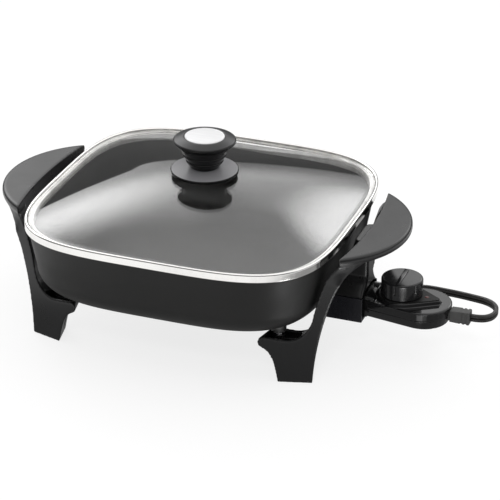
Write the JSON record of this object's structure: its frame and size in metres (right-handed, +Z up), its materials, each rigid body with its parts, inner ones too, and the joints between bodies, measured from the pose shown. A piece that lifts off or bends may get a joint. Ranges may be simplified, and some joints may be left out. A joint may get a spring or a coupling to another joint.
{
  "type": "electric skillet",
  "caption": "Square electric skillet with a domed glass lid, steel lid rim, crescent handles with moulded legs, and a plug-in heat control on a short cord.",
  "frame": {"origin": "middle of the whole object without its cord, on the surface that it stands on; the pan centre is 21.4 mm towards -X", "axes": "+Z up, +X from the pan towards the heat control, +Y towards the back"},
  "size_m": [0.4769, 0.4119, 0.1854],
  "materials": {
    "pan_coating": "cast aluminium under a dark non-stick coating, matt with a fine speckle",
    "element_sheath": "heat-darkened metal sheath",
    "plated_metal": "nickel-plated, satin",
    "ceramic": "unglazed ceramic",
    "phenolic": "black phenolic moulding, satin",
    "post_aluminium": "turned",
    "screw_steel": "zinc-plated",
    "lid_glass": "clear tempered glass",
    "rim_steel": "rolled stainless steel, bright",
    "knob_black": "black phenolic moulding, polished",
    "badge": "brushed, plain, no mark",
    "brass": "machined",
    "silicone": "matt translucent silicone",
    "control_black": "black moulding, polished",
    "dial_grey": "dark grey moulding, satin",
    "pilot_red": "dark red lens",
    "lamp_glass": "clear neon lamp",
    "probe_steel": "drawn stainless tube",
    "block_brown": "brown phenolic moulding",
    "bimetal": "rolled strip",
    "lead_sleeving": "woven glass sleeving",
    "relief_grey": "moulded, matt",
    "cord_jacket": "ribbed two-core heater cord, satin",
    "tie_black": "strap",
    "plug_black": "moulded plug, satin"
  },
  "bodies": {
    "base": {"pan": "pan_coating", "heating_element": "element_sheath", "terminal_pins": "plated_metal", "terminal_bushes": "ceramic", "handle_leg_left": "phenolic", "handle_leg_right": "phenolic", "leg_posts": "post_aluminium", "leg_screws": "screw_steel", "leg_washers": "screw_steel", "plug_guard": "phenolic", "guard_screws": "screw_steel"},
    "lid": {"lid_glass": "lid_glass", "lid_rim": "rim_steel", "knob_collar": "knob_black", "knob_grip": "knob_black", "knob_badge": "badge", "knob_insert": "brass", "knob_screw": "screw_steel", "knob_washer": "plated_metal", "knob_gasket": "silicone"},
    "control": {"control_top": "control_black", "control_base": "control_black", "dial_plate": "dial_grey", "pilot_lens": "pilot_red", "pilot_lamp": "lamp_glass", "probe_tube": "probe_steel", "contact_sleeves": "brass", "contact_block": "block_brown", "thermostat_frame": "plated_metal", "bimetal_blade": "bimetal", "contact_arms": "brass", "calibration_screw": "brass", "housing_screws": "screw_steel", "inner_leads": "lead_sleeving", "strain_relief": "relief_grey", "cord": "cord_jacket", "cord_coil": "cord_jacket", "cord_tie": "tie_black", "plug_body": "plug_black", "plug_blades": "brass"},
    "dial": {"dial_knob": "dial_grey", "dial_shaft": "plated_metal", "dial_clip": "screw_steel"},
    "follower": {"cam_follower": "ceramic"}
  },
  "joints": [
    {"name": "lid_lift", "type": "slide", "parent": "base", "child": "lid", "axis": [0, 0, 1], "range_m": [0, 0.12]},
    {"name": "control_unplug", "type": "slide", "parent": "base", "child": "control", "axis": [1, 0, 0], "range_m": [0, 0.06]},
    {"name": "dial_turn", "type": "hinge", "parent": "control", "child": "dial", "pos_m": [0.1712, 0, 0.058], "axis": [0, 0, -1], "range_deg": [0, 290]},
    {"name": "follower_travel", "type": "slide", "parent": "control", "child": "follower", "axis": [0, 0, -1], "range_m": [0, 0.00125]}
  ],
  "couplings": [
    {"joint": "follower_travel", "follows": "dial_turn", "m_per_rad": 0.000237}
  ]
}
